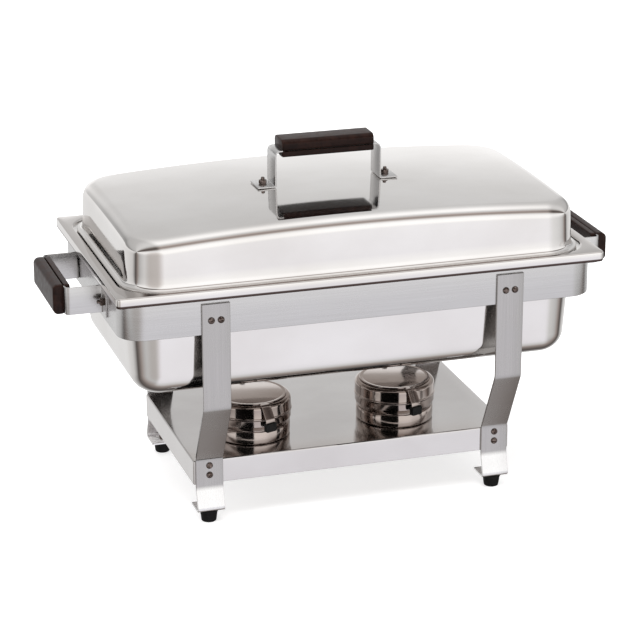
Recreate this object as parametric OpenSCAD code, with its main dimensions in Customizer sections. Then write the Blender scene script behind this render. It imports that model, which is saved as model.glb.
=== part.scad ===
// Full-size chafing dish: a strap-leg stand with a base tray, a water pan, a food pan,
// a domed lid and two fuel burners. Millimetres, +Z up, standing on z = 0.
// The long side runs along X and the serving side faces -Y.

/* [Water pan] */
// Length of the rim over its outer lip
rim_l = 620; // [600:1:640]
// Width of the rim over its outer lip
rim_w = 350; // [340:0.5:360]
// Height of the rim's top face above the floor
rim_z = 320; // [306:1:336]
// Height of the turned-down outer lip
rim_lip = 13; // [8:1:20]
// Depth from the rim's top face to the pan's underside
pan_depth = 142; // [120:1:150]
// Length of the pan body just below the rim
body_l = 580; // [560:1:584]
// Width of the pan body just below the rim
body_w = 308; // [296:1:312]

/* [Food pan] */
// Depth of the food pan below its flange
food_depth = 65; // [40:1:65]

/* [Lid] */
// Length of the lid's wall at its foot
lid_l = 574; // [560:1:576]
// Width of the lid's wall at its foot
lid_w = 314; // [300:1:316]
// Height of the lid's top edge at a corner, above the rim's top face
lid_edge_h = 56; // [45:1:70]
// Extra height of the top half-way along the lid
lid_arch_x = 12; // [4:1:20]
// Extra height of the top half-way across the lid
lid_arch_y = 4; // [0:1:10]
// Radius of the pressed edge between wall and top
lid_edge_r = 17; // [10:1:24]

/* [Stand] */
// Length of the base tray
tray_l = 416; // [400:1:430]
// Width of the base tray
tray_w = 246; // [236:1:260]
// Height of the tray's top face above the floor
tray_z = 82; // [76:1:90]
// Height of the tray's folded edge
tray_h = 31; // [28:1:34]
// Length of the carrying band
band_l = 606; // [604:1:610]
// Width of the carrying band
band_w = 331; // [326:1:334]
// Height of the carrying band
band_h = 53; // [45:1:60]
// Width of a leg strap
leg_w = 35; // [30:1:40]
// Distance from the middle of the stand to the middle of a leg, along X
leg_x = 188; // [180:1:190]
// Height at which a leg starts to lean inwards
leg_bend_z = 166; // [146:1:172]

/* [Handles] */
// Distance over the two arms of a side handle's strap
side_span = 139; // [132:1:148]
// Distance over the two arms of the lid handle's strap
lid_span = 139; // [124:1:142]
// Height of a side handle's strap above the band
side_rise = 47; // [40:1:55]
// Height of the lid handle's strap above the lid
lid_rise = 47; // [45:1:58]
// Width of a handle grip
grip_w = 37; // [34:0.5:40]
// Thickness of a handle grip
grip_t = 21.5; // [18:0.5:24]

/* [Burners] */
// Distance between the two burners
burner_pitch = 192; // [180:1:196]
// Middle of the pair of burners along X
burner_mid_x = -16; // [-18:1:10]
// Middle of the burners along Y
burner_y = -46.5; // [-60:0.5:0]
// Radius of the burner cup
cup_r = 49.5; // [46:0.5:50]
// How far the cover's tongue is set askew, in degrees
tongue_skew = 20; // [0:1:24]

/* [Hidden] */

$fn = 64;
gap = 0.3;            // air between two bodies that rest on one another
through = 1;          // overshoot of a cutting tool past the face it cuts
sheet = 1.2;          // thickness of the water pan's steel
thin_sheet = 1;       // thickness of the lid, food pan and burner steel
strap_t = 2;          // thickness of a handle strap
leg_t = 3;            // thickness of a leg strap
band_t = 2.5;         // thickness of the carrying band
tray_t = 1.5;         // thickness of the tray's steel

// Water pan
ledge_drop = 4;                         // depth of the ledge below the rim's top face
ledge_z = rim_z - ledge_drop;
ledge_l = 595;                          // length of the ledge inside its step
ledge_w = 336;                          // width of the ledge inside its step
ledge_r = 50;
rim_r = 6;
body_r = 46;
body_draft = 8;                         // how far each wall leans in from top to bottom
body_bottom_r = 28;
pan_bottom_z = rim_z - pan_depth;

// Food pan
flange_l = 584;
flange_w = 324;
flange_r = 48;
food_l = 564;
food_w = 292;
food_r = 42;
food_draft = 6;
food_bottom_r = 20;
flange_z = ledge_z + gap;

// Lid
lid_foot_z = flange_z + thin_sheet + gap;
brim_l = 588;
brim_w = 327;
lid_r = 46;
lid_wall_z = rim_z + 7;                 // where the flared foot becomes the wall
lid_wall_lean = 1.5;
lid_top_z = rim_z + lid_edge_h;

// Stand
band_z = ledge_z - sheet - gap - band_h;
band_r = 32;
foot_h = 16;
foot_y = tray_w / 2 - 4;
band_screw_z = band_z + 18.5;
band_screw_pitch = 12;
tray_screw_z = tray_z - 12.5;
tray_screw_pitch = 12.5;
leg_top_z = band_z + band_h - 13.5;
leg_eases = [0, 3, 3, 4, 7, 0];         // how far each bend reaches along the strap, either side
leg_flare = 9.5;                        // how far the strap swings out below the tray
screw_d = 4.8;
hole_d = 5.2;
nut_bore_d = 5;
foot_screw_d = 4;
foot_hole_d = 4.4;

// Handles
arm_r = 8;                              // outer radius of the strap's bends
handle_foot = 22;                       // length of a foot beyond its arm
handle_screw_out = 11;                  // distance of a screw beyond its arm
grip_short = 19;                        // how much shorter a grip is than its strap's span
handle_neck_w = 27;                     // strap width inside the grip
handle_nut_flats = 9;
handle_nut_h = 5;
grip_in = 7.5;                          // grip thickness on the hand's side of the strap
grip_chamfer = 4;
side_handle_z = band_z + band_h / 2 - 1;
lid_handle_z = lid_top_z + lid_arch_y + lid_arch_x * (1 - pow(lid_span / lid_l, 2)) + 0.1;

// Burners
burner_z = tray_z + gap;
cup_h = 32;
collar_r = cup_r + 1.5;
collar_top_z = tray_z + 51.7;
cover_z = collar_top_z + gap;
cover_r = 45;
cover_t = 1.6;
flame_hole_r = 18;
flame_hole_at = [16, -10];              // middle of the flame hole, X away from the other burner
pivot_y = 40;                           // distance of the pivot behind the cover's middle
pivot_d = 4;
pivot_hole_d = 4.1;
tongue_w = 13.5;
tongue_eases = [0, 2, 2.5, 0];
tongue_root = 37;                       // distance of the tongue's root in front of the cover's middle
tongue_end = [24.5, -24];               // reach of the tongue from its root, and its drop

// ---------- shared shapes ----------

// Outline of a rectangle with round corners, centred, from its half sizes
module round_rect(half_l, half_w, r) {
    square([2 * half_l, 2 * (half_w - r)], center = true);
    square([2 * (half_l - r), 2 * half_w], center = true);
    for (sx = [-1, 1], sy = [-1, 1])
        translate([sx * (half_l - r), sy * (half_w - r)]) circle(r);
}

module round_plate(half_l, half_w, r, z, t) {
    translate([0, 0, z]) linear_extrude(t) round_rect(half_l, half_w, r);
}

// Upright band of constant thickness on a round-cornered rectangle
module round_band(half_l, half_w, r, z, h, t) {
    translate([0, 0, z]) linear_extrude(h) difference() {
        round_rect(half_l, half_w, r);
        round_rect(half_l - t, half_w - t, r - t);
    }
}

// Carries a 2D section round a round-cornered rectangle; x = r in the section is its edge
module swept(half_l, half_w, r) {
    for (q = [0 : 3]) {
        along = q % 2 == 0 ? [half_l - r, half_w - r] : [half_w - r, half_l - r];
        rotate(90 * q) translate(along) rotate_extrude(angle = 90) children();
        rotate(90 * q) translate([-along[0], along[1], 0]) rotate([90, 0, 90])
            linear_extrude(2 * along[0]) children();
    }
}

// Solid tub with leaning walls and a round bottom edge; half sizes are at its top
module tub(half_l, half_w, r, bottom_z, top_z, draft, bottom_r) {
    wall = r - draft;
    swept(half_l, half_w, r) {
        union() {
            polygon([[0, bottom_z + bottom_r], [wall, bottom_z + bottom_r], [r, top_z], [0, top_z]]);
            translate([0, bottom_z]) square([wall - bottom_r, bottom_r]);
            intersection() {
                translate([wall - bottom_r, bottom_z + bottom_r]) circle(bottom_r);
                translate([wall - bottom_r, bottom_z]) square([bottom_r, bottom_r]);
            }
        }
    }
    translate([-(half_l - r), -(half_w - r), bottom_z])
        cube([2 * (half_l - r), 2 * (half_w - r), top_z - bottom_z]);
}

// Domed screw head with its shank, pointing down -Z from the face it bears on
module screw(d, head_d, head_h, len) {
    ball_r = (pow(head_d / 2, 2) + pow(head_h, 2)) / (2 * head_h);
    intersection() {
        translate([0, 0, head_h - ball_r]) sphere(ball_r);
        cylinder(d = head_d, h = head_h);
    }
    translate([0, 0, -len]) cylinder(d = d, h = len + head_h / 2);
}

module hex_nut(flats, h, bore) {
    difference() {
        cylinder(d = flats / cos(30), h = h, $fn = 6);
        translate([0, 0, -through]) cylinder(d = bore, h = h + 2 * through);
    }
}

// ---------- stand ----------

// The four leg positions as [side along X, side along Y]
LEGS = [[-1, -1], [1, -1], [-1, 1], [1, 1]];

// The screw places of the carrying band, each with its outward direction turned to -Y
module at_band_screws() {
    for (leg = LEGS, s = [-1, 1])
        rotate(leg[1] > 0 ? 180 : 0)
            translate([-leg[0] * leg[1] * leg_x + s * band_screw_pitch / 2, -band_w / 2, band_screw_z])
                rotate([90, 0, 0]) children();
}

module at_tray_screws() {
    for (leg = LEGS, s = [-1, 1])
        rotate(leg[1] > 0 ? 180 : 0)
            translate([-leg[0] * leg[1] * leg_x, -tray_w / 2, tray_screw_z + s * tray_screw_pitch / 2])
                rotate([90, 0, 0]) children();
}

// The screw places of the side handles, looking out along local +Z
module at_side_handle(side) {
    translate([side * band_l / 2, 0, side_handle_z]) rotate([90, 0, side * 90]) children();
}

// The two screw places of a handle, on the face its feet stand on
module at_handle_screws(span) {
    for (s = [-1, 1]) translate([s * (span / 2 + handle_screw_out), 0, 0]) children();
}

module carrying_band() {
    color("silver") difference() {
        round_band(band_l / 2, band_w / 2, band_r, band_z, band_h, band_t);
        at_band_screws() cylinder(d = hole_d, h = 4 * band_t, center = true);
        for (side = [-1, 1]) at_side_handle(side) at_handle_screws(side_span)
            cylinder(d = hole_d, h = 4 * band_t, center = true);
    }
}

// A strap's side view: its centre line, with bend i eased over a length eases[i] either side
BEND_STEPS = 6;
function unit(v) = v / norm(v);
function left_of(v) = [-v[1], v[0]];
function eased(points, eases) = [for (i = [0 : len(points) - 1])
    let (p = points[i])
    if (eases[i] == 0) p
    else let (
        a = p - eases[i] * unit(p - points[i - 1]),
        b = p + eases[i] * unit(points[i + 1] - p)
    ) each [for (k = [0 : BEND_STEPS]) let (s = k / BEND_STEPS)
        (1 - s) * (1 - s) * a + 2 * s * (1 - s) * p + s * s * b]];

// One edge of the strap, d to the left of its centre line
function strap_edge(line, d) = [for (i = [0 : len(line) - 1]) let (
        last = len(line) - 1,
        before = left_of(unit(line[max(i, 1)] - line[max(i, 1) - 1])),
        after = left_of(unit(line[min(i + 1, last)] - line[min(i + 1, last) - 1]))
    ) line[i] + d * (before + after) / (1 + before * after)];

module strap_line(points, t, eases) {
    line = eased(points, eases);
    right = strap_edge(line, -t / 2);
    polygon(concat(strap_edge(line, t / 2), [for (i = [len(right) - 1 : -1 : 0]) right[i]]));
}

// Leg strap, front left when sx = sy = -1
module leg(sx, sy) {
    on_band = band_w / 2 + leg_t / 2;
    on_tray = tray_w / 2 + leg_t / 2;
    sole_z = foot_h + leg_t / 2;
    line = [[on_band, leg_top_z], [on_band, leg_bend_z], [on_tray, tray_z + 2],
        [on_tray, tray_z - tray_h - 5], [on_tray + leg_flare, sole_z], [foot_y - 18, sole_z]];
    color("gainsboro") difference() {
        translate([sx * leg_x, 0, 0]) rotate([90, 0, sy * 90]) translate([0, 0, -leg_w / 2])
            linear_extrude(leg_w) strap_line(line, leg_t, leg_eases);
        at_band_screws() cylinder(d = hole_d, h = 4 * leg_t, center = true);
        at_tray_screws() cylinder(d = hole_d, h = 4 * leg_t, center = true);
        translate([sx * leg_x, sy * foot_y, foot_h - through])
            cylinder(d = foot_hole_d, h = leg_t + 2 * through);
    }
}

module foot(sx, sy) {
    color("black") translate([sx * leg_x, sy * foot_y, 0]) difference() {
        cylinder(r1 = 9.5, r2 = 12, h = foot_h);
        translate([0, 0, -through]) cylinder(d = foot_hole_d, h = foot_h + 2 * through);
        translate([0, 0, -through]) cylinder(d = 10, h = foot_h / 2 + through);
    }
}

module base_tray() {
    color("silver") difference() {
        union() {
            round_plate(tray_l / 2, tray_w / 2, 2, tray_z - tray_t, tray_t);
            round_band(tray_l / 2, tray_w / 2, 2, tray_z - tray_h, tray_h - tray_t, tray_t);
        }
        at_tray_screws() cylinder(d = hole_d, h = 6 * tray_t, center = true);
    }
}

module foot_screws() {
    color("dimgray") for (leg = LEGS)
        translate([leg[0] * leg_x, leg[1] * foot_y, foot_h / 2]) rotate([180, 0, 0])
            screw(foot_screw_d, 8, 3, foot_h / 2 + leg_t + 4);
}

module foot_nuts() {
    color("dimgray") for (leg = LEGS)
        translate([leg[0] * leg_x, leg[1] * foot_y, foot_h + leg_t])
            hex_nut(7, 3.2, foot_screw_d + 0.2);
}

module band_screws() {
    color("dimgray") at_band_screws() translate([0, 0, leg_t])
        screw(screw_d, 8.5, 3, leg_t + band_t + 4.5);
}

module band_nuts() {
    color("dimgray") at_band_screws() translate([0, 0, -band_t - 4]) hex_nut(8, 4, nut_bore_d);
}

module tray_screws() {
    color("dimgray") at_tray_screws() translate([0, 0, leg_t])
        screw(screw_d, 8.5, 3, leg_t + tray_t + 4.5);
}

module tray_nuts() {
    color("dimgray") at_tray_screws() translate([0, 0, -tray_t - 4]) hex_nut(8, 4, nut_bore_d);
}

// ---------- handles ----------
// Drawn standing on z = 0 with the arms apart along X; the same design is used three times.

module handle_strap(span, rise) {
    half = span / 2;
    grip_l = span - grip_short;
    color("gainsboro") difference() {
        translate([0, leg_w / 2, 0]) rotate([90, 0, 0]) linear_extrude(leg_w) {
            difference() {
                intersection() {
                    round_rect(half, rise, arm_r);
                    translate([-half, 0]) square([2 * half, rise]);
                }
                round_rect(half - strap_t, rise - strap_t, arm_r - strap_t);
            }
            for (s = [-1, 1]) translate([s * (half + handle_foot / 2 - strap_t / 2), strap_t / 2])
                square([handle_foot + strap_t, strap_t], center = true);
        }
        at_handle_screws(span) translate([0, 0, -through])
            cylinder(d = hole_d, h = strap_t + 2 * through);
        for (s = [-1, 1])
            translate([-grip_l / 2, s > 0 ? handle_neck_w / 2 : -leg_w, rise - 2 * strap_t])
                cube([grip_l, leg_w - handle_neck_w / 2, 3 * strap_t]);
    }
}

module handle_grip(span, rise) {
    grip_l = span - grip_short;
    low = rise - strap_t / 2 - grip_in;
    high = low + grip_t;
    half = grip_w / 2;
    slot = 0.2;
    color([0.25, 0.16, 0.13]) difference() {
        translate([-grip_l / 2 + slot, 0, 0]) rotate([90, 0, 90]) linear_extrude(grip_l - 2 * slot)
            polygon([[-half, low + 1], [-half + 1, low], [half - 1, low], [half, low + 1],
                [half, high - grip_chamfer], [half - grip_chamfer, high],
                [-half + grip_chamfer, high], [-half, high - grip_chamfer]]);
        translate([0, 0, rise - strap_t / 2])
            cube([grip_l + through, handle_neck_w + 2 * slot, strap_t + 2 * slot], center = true);
    }
}

// Screws with their heads behind the plate and their ends standing out of the nuts
module handle_screws(span, plate_t) {
    color("dimgray") at_handle_screws(span) translate([0, 0, -plate_t]) rotate([180, 0, 0])
        screw(screw_d, 9.5, 3, plate_t + strap_t + handle_nut_h + 3.5);
}

module handle_nuts(span) {
    color("dimgray") at_handle_screws(span) translate([0, 0, strap_t])
        hex_nut(handle_nut_flats, handle_nut_h, nut_bore_d);
}

// ---------- pans ----------

module water_pan() {
    color("silver") {
        difference() {
            tub(body_l / 2, body_w / 2, body_r, pan_bottom_z, ledge_z, body_draft, body_bottom_r);
            tub(body_l / 2 - sheet, body_w / 2 - sheet, body_r - sheet, pan_bottom_z + sheet,
                ledge_z + through, body_draft, body_bottom_r - sheet);
        }
        difference() {
            round_plate(ledge_l / 2 + sheet, ledge_w / 2 + sheet, ledge_r + sheet,
                ledge_z - sheet, sheet);
            round_plate(body_l / 2 - sheet / 2, body_w / 2 - sheet / 2, body_r - sheet / 2,
                ledge_z - sheet - through, sheet + 2 * through);
        }
        round_band(ledge_l / 2 + sheet, ledge_w / 2 + sheet, ledge_r + sheet,
            ledge_z - sheet, ledge_drop + sheet, sheet);
        difference() {
            round_plate(rim_l / 2, rim_w / 2, rim_r, rim_z - sheet, sheet);
            round_plate(ledge_l / 2, ledge_w / 2, ledge_r, rim_z - sheet - through,
                sheet + 2 * through);
        }
        round_band(rim_l / 2, rim_w / 2, rim_r, rim_z - rim_lip, rim_lip, sheet);
    }
}

module food_pan() {
    bottom_z = flange_z + thin_sheet - food_depth;
    color("whitesmoke") {
        difference() {
            tub(food_l / 2, food_w / 2, food_r, bottom_z, flange_z + thin_sheet, food_draft,
                food_bottom_r);
            tub(food_l / 2 - thin_sheet, food_w / 2 - thin_sheet, food_r - thin_sheet,
                bottom_z + thin_sheet, flange_z + thin_sheet + through, food_draft,
                food_bottom_r - thin_sheet);
        }
        difference() {
            round_plate(flange_l / 2, flange_w / 2, flange_r, flange_z, thin_sheet);
            round_plate(food_l / 2 - thin_sheet / 2, food_w / 2 - thin_sheet / 2,
                food_r - thin_sheet / 2, flange_z - through, thin_sheet + 2 * through);
        }
    }
}

// ---------- lid ----------
// One closed skin: rings climb the outside from the brim to the middle of the top, then go
// back down the inside. Every ring has the same number of points.

CORNER_STEPS = 7;
LONG_STEPS = 10;
SHORT_STEPS = 5;

// Points of one ring, from its half sizes and corner radius
function arc_points(cx, cy, r, from) =
    [for (i = [0 : CORNER_STEPS]) let (a = from + 90 * i / CORNER_STEPS)
        [cx + r * cos(a), cy + r * sin(a)]];
function side_points(a, b, steps) =
    [for (i = [1 : steps - 1]) a + (b - a) * i / steps];
function ring(half_l, half_w, r) = let (
        x = half_l - r,
        y = half_w - r
    ) concat(
        arc_points(x, y, r, 0),
        side_points([x, half_w], [-x, half_w], LONG_STEPS),
        arc_points(-x, y, r, 90),
        side_points([-half_l, y], [-half_l, -y], SHORT_STEPS),
        arc_points(-x, -y, r, 180),
        side_points([-x, -half_w], [x, -half_w], LONG_STEPS),
        arc_points(x, -y, r, 270),
        side_points([half_l, -y], [half_l, y], SHORT_STEPS));

// Rise of the crowned top above its corners
function crown(x, y) =
    lid_arch_x * (1 - pow(2 * x / lid_l, 2)) + lid_arch_y * (1 - pow(2 * y / lid_w, 2));

// One lid ring: grow = distance outside the wall's foot, z = height, lift = share of the crown
function lid_ring(grow, z, lift) =
    [for (p = ring(lid_l / 2 + grow, lid_w / 2 + grow, lid_r + grow))
        [p[0], p[1], z + lift * crown(p[0], p[1])]];
// One ring of the top panel, shrunk by a share of the flat
function top_ring(share, inset, z) = let (k = 1 - share) [
    for (p = ring((lid_l / 2 - inset) * k, (lid_w / 2 - inset) * k, (lid_r - inset) * k))
        [p[0], p[1], z + crown(p[0], p[1])]];

EDGE_STEPS = 5;
TOP_STEPS = 5;
brim_grow = (brim_l - lid_l) / 2;
edge_inset = lid_wall_lean + lid_edge_r;

// The rings of one face of the skin, d inside the outer face
function face_rings(d) = concat(
    [lid_ring(brim_grow - (d > 0 ? 2 : 0), lid_foot_z, 0)],
    [lid_ring(brim_grow - (d > 0 ? 2 : 0), lid_foot_z + 1.8 - d, 0)],
    [lid_ring(1.5 - d, lid_foot_z + 3.2 - d, 0)],
    [lid_ring(-d, lid_wall_z, 0)],
    [for (i = [0 : EDGE_STEPS]) let (a = 90 * i / EDGE_STEPS)
        lid_ring(-edge_inset + (lid_edge_r - d) * cos(a),
            lid_top_z - lid_edge_r + (lid_edge_r - d) * sin(a), 1)],
    [for (i = [1 : TOP_STEPS - 1]) top_ring(i / TOP_STEPS, edge_inset, lid_top_z - d)]);

module lid_skin() {
    outer = face_rings(0);
    inner = face_rings(thin_sheet);
    n = len(outer[0]);
    rings = len(outer);
    inner_at = n * rings;
    outer_mid = 2 * n * rings;
    points = concat([for (r = outer, p = r) p], [for (r = inner, p = r) p],
        [[0, 0, lid_top_z + crown(0, 0)], [0, 0, lid_top_z - thin_sheet + crown(0, 0)]]);
    function quad(a, b, c, d) = [[a, b, c], [a, c, d]];
    up = [for (k = [0 : rings - 2], i = [0 : n - 1]) let (j = (i + 1) % n)
        each quad(k * n + i, (k + 1) * n + i, (k + 1) * n + j, k * n + j)];
    down = [for (k = [0 : rings - 2], i = [0 : n - 1]) let (j = (i + 1) % n)
        each quad(inner_at + k * n + i, inner_at + k * n + j,
            inner_at + (k + 1) * n + j, inner_at + (k + 1) * n + i)];
    base = [for (i = [0 : n - 1]) let (j = (i + 1) % n)
        each quad(i, j, inner_at + j, inner_at + i)];
    last = (rings - 1) * n;
    caps = [for (i = [0 : n - 1]) let (j = (i + 1) % n)
        each [[last + i, outer_mid, last + j],
            [inner_at + last + i, inner_at + last + j, outer_mid + 1]]];
    polyhedron(points, concat(up, down, base, caps), convexity = 6);
}

module lid_shell() {
    color("silver") difference() {
        lid_skin();
        at_handle_screws(lid_span) translate([0, 0, lid_handle_z - 6])
            cylinder(d = hole_d, h = 12);
    }
}

// ---------- burners ----------

module at_burner(side) {
    translate([burner_mid_x + side * burner_pitch / 2, burner_y, 0]) children();
}

module burner_cup(side) {
    color("rosybrown") at_burner(side) rotate_extrude() difference() {
        union() {
            translate([0, burner_z]) square([cup_r - 2, cup_h]);
            translate([0, burner_z + 2]) square([cup_r, 15]);
            translate([cup_r - 2, burner_z + 2]) circle(2);
            translate([0, burner_z + 18.5]) square([cup_r, cup_h - 18.5]);
        }
        translate([0, burner_z + thin_sheet])
            square([cup_r - 2 - thin_sheet, cup_h]);
    }
}

// Collar pressed over the cup, with the flame hole in its top
module burner_collar(side) {
    inner_r = cup_r + 0.2;
    shoulder = 5;
    skirt_z = burner_z + 24;
    color("rosybrown") at_burner(side) difference() {
        rotate_extrude() difference() {
            union() {
                translate([0, skirt_z]) square([collar_r, collar_top_z - shoulder - skirt_z]);
                translate([0, collar_top_z - 4]) square([collar_r - shoulder, 4]);
                translate([collar_r - shoulder, collar_top_z - shoulder]) circle(shoulder);
                translate([collar_r - 0.5, burner_z + 34]) circle(1.5);
            }
            translate([0, burner_z + 20]) square([inner_r, 16]);
            translate([0, burner_z + 20]) square([inner_r - 2, collar_top_z - burner_z - 21.5]);
        }
        translate([side * flame_hole_at[0], flame_hole_at[1], burner_z])
            cylinder(r = flame_hole_r, h = 60);
        translate([0, pivot_y, burner_z]) cylinder(d = pivot_d + 0.2, h = 60);
    }
}

module burner_wick(side) {
    color("ivory") at_burner(side) translate([0, 0, burner_z + thin_sheet + 0.1])
        cylinder(r = cup_r - 6, h = 22);
}

// Rivet the cover turns on
module burner_pivot(side) {
    head_z = cover_z + cover_t + gap;
    color("dimgray") at_burner(side) translate([0, pivot_y, 0]) {
        translate([0, 0, collar_top_z - 3]) cylinder(d = pivot_d, h = head_z - collar_top_z + 3.5);
        translate([0, 0, head_z]) cylinder(d = 8, h = 1.2);
        translate([0, 0, collar_top_z - 3.6]) cylinder(d = 7, h = 2);
    }
}

// Frame of the tongue: its root on the cover, +X along the tongue
module at_tongue() {
    translate([0, -tongue_root, 0]) rotate(tongue_skew - 90) children();
}

module burner_cover(side) {
    reach = tongue_end[0];
    drop = tongue_end[1];
    mid_z = cover_z + cover_t / 2;
    line = [[0, mid_z], [reach - 9.5, mid_z], [reach, mid_z + drop + 7], [reach, mid_z + drop]];
    color("gainsboro") at_burner(side) difference() {
        union() {
            translate([0, 0, cover_z]) cylinder(r = cover_r, h = cover_t);
            at_tongue() translate([0, tongue_w / 2, 0]) rotate([90, 0, 0])
                linear_extrude(tongue_w) strap_line(line, cover_t, tongue_eases);
        }
        translate([0, pivot_y, cover_z - through])
            cylinder(d = pivot_hole_d, h = cover_t + 2 * through);
    }
}

// Heat-proof tip on the tongue's end
module burner_tip(side) {
    at = cover_z + cover_t / 2 + tongue_end[1];
    color("black") at_burner(side) at_tongue() translate([tongue_end[0], 0, at]) difference() {
        translate([-3.5, -tongue_w / 2 - 1, -7]) cube([7, tongue_w + 2, 11]);
        translate([-cover_t / 2 - 0.2, -tongue_w / 2 - 0.2, 0.1])
            cube([cover_t + 0.4, tongue_w + 0.4, 5]);
        translate([0, 0, -0.1]) rotate([90, 0, 0])
            cylinder(d = cover_t + 0.4, h = tongue_w + 0.4, center = true);
    }
}

// ---------- nodes ----------

carrying_band();
leg(-1, -1);  // leg_front_left
leg(1, -1);  // leg_front_right
leg(-1, 1);  // leg_rear_left
leg(1, 1);  // leg_rear_right
base_tray();
foot(-1, -1);  // foot_front_left
foot(1, -1);  // foot_front_right
foot(-1, 1);  // foot_rear_left
foot(1, 1);  // foot_rear_right
foot_screws();
foot_nuts();
band_screws();
band_nuts();
tray_screws();
tray_nuts();
at_side_handle(-1) handle_strap(side_span, side_rise);  // left_handle_strap
at_side_handle(-1) handle_grip(side_span, side_rise);  // left_handle_grip
at_side_handle(-1) handle_screws(side_span, band_t);  // left_handle_screws
at_side_handle(-1) handle_nuts(side_span);  // left_handle_nuts
at_side_handle(1) handle_strap(side_span, side_rise);  // right_handle_strap
at_side_handle(1) handle_grip(side_span, side_rise);  // right_handle_grip
at_side_handle(1) handle_screws(side_span, band_t);  // right_handle_screws
at_side_handle(1) handle_nuts(side_span);  // right_handle_nuts
water_pan();
food_pan();
lid_shell();
translate([0, 0, lid_handle_z]) handle_strap(lid_span, lid_rise);  // lid_handle_strap
translate([0, 0, lid_handle_z]) handle_grip(lid_span, lid_rise);  // lid_handle_grip
translate([0, 0, lid_handle_z]) handle_screws(lid_span, thin_sheet + 0.6);  // lid_handle_screws
translate([0, 0, lid_handle_z]) handle_nuts(lid_span);  // lid_handle_nuts
burner_cup(-1);  // left_burner_cup
burner_collar(-1);  // left_burner_collar
burner_wick(-1);  // left_burner_wick
burner_pivot(-1);  // left_burner_pivot
burner_cover(-1);  // left_burner_cover
burner_tip(-1);  // left_burner_tip
burner_cup(1);  // right_burner_cup
burner_collar(1);  // right_burner_collar
burner_wick(1);  // right_burner_wick
burner_pivot(1);  // right_burner_pivot
burner_cover(1);  // right_burner_cover
burner_tip(1);  // right_burner_tip
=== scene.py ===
"""Full-size chafing dish on a strap-leg stand: polished pans, tray and lid, satin frame, brown grips."""

import math

import bmesh
import bpy
from mathutils import Matrix, Vector


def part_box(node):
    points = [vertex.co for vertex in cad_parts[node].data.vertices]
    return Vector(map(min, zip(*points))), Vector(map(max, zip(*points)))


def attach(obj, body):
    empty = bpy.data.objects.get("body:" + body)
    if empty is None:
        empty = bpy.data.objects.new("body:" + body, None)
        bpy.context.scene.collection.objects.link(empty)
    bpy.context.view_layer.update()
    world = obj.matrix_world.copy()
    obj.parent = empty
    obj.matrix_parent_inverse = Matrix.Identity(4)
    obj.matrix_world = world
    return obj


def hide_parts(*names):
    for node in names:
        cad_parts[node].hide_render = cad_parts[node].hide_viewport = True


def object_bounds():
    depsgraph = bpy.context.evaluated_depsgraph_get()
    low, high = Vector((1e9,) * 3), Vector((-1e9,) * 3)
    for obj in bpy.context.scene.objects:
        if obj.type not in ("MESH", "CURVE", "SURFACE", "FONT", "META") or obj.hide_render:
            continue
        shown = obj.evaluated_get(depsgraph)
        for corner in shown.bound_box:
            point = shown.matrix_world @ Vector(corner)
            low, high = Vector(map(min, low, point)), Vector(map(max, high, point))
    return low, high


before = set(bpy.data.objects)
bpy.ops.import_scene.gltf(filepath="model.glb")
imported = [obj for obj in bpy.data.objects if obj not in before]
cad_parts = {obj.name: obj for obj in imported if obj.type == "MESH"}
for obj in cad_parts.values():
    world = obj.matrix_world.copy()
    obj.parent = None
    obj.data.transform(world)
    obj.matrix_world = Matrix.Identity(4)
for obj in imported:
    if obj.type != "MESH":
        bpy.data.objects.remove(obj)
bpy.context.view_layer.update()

MM = 0.001
CORNER, LONG, SHORT = 14, 28, 16  # steps round a corner, along a long side, along a short side
SIDES = {"left": -1, "right": 1}

# Steel thicknesses, in millimetres
PAN_SHEET, THIN_SHEET, TRAY_SHEET, BAND_SHEET = 1.2, 1.0, 1.5, 2.5
LEG_SHEET, STRAP_SHEET, COVER_SHEET, TONGUE_SHEET = 3.0, 2.0, 1.6, 1.5

LEG_BEND_Z = 166  # height where a leg starts to lean inwards
# height of the painted shadow along the rim lip's lower edge
LIP_SHADE_H = (9.8, 8.9)  # the lip's shaded edge ends this far below the rim, and fades out here
HEAD_H = 3.0  # height of a screw head

# Painted shade that a steel's colour is multiplied by
RIM_FLAT_PAINTED_SHADE = (0.75, 0.73, 0.72)
LIP_SHADE_TONE = (0.11, 0.08, 0.075)
LEG_PAINTED_SHADE = (0.57, 0.56, 0.555)


# ---------- measures, in millimetres, from the CAD nodes ----------


def span(node):
    lo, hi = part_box(node)
    return lo / MM, hi / MM


def half_size(node):
    """Half length and half width of a node."""
    lo, hi = span(node)
    return (hi.x - lo.x) / 2, (hi.y - lo.y) / 2


def direction(azimuth, elevation):
    """Unit vector towards an azimuth (0 front, 90 right) and an elevation, in degrees."""
    a, e = math.radians(azimuth), math.radians(elevation)
    return Vector((math.sin(a) * math.cos(e), -math.cos(a) * math.cos(e), math.sin(e)))


def add_object(name, data):
    obj = bpy.data.objects.new(name, data)
    bpy.context.scene.collection.objects.link(obj)
    return obj


# ---------- materials ----------


def new_material(name):
    mat = bpy.data.materials.new(name)
    mat.use_nodes = True
    nodes = mat.node_tree.nodes
    nodes.clear()
    out = nodes.new("ShaderNodeOutputMaterial")
    shader = nodes.new("ShaderNodeBsdfPrincipled")
    mat.node_tree.links.new(shader.outputs["BSDF"], out.inputs["Surface"])
    return mat, shader


def surface(mat, shader, color, roughness, normal):
    for socket, value in (("Base Color", color), ("Roughness", roughness), ("Normal", normal)):
        mat.node_tree.links.new(value, shader.inputs[socket])


def scaled_position(mat, scale):
    """Object position in metres, times a scale along each axis."""
    nodes, links = mat.node_tree.nodes, mat.node_tree.links
    where = nodes.new("ShaderNodeTexCoord")
    mapping = nodes.new("ShaderNodeMapping")
    mapping.inputs["Scale"].default_value = scale
    links.new(where.outputs["Object"], mapping.inputs["Vector"])
    return mapping.outputs["Vector"]


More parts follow.
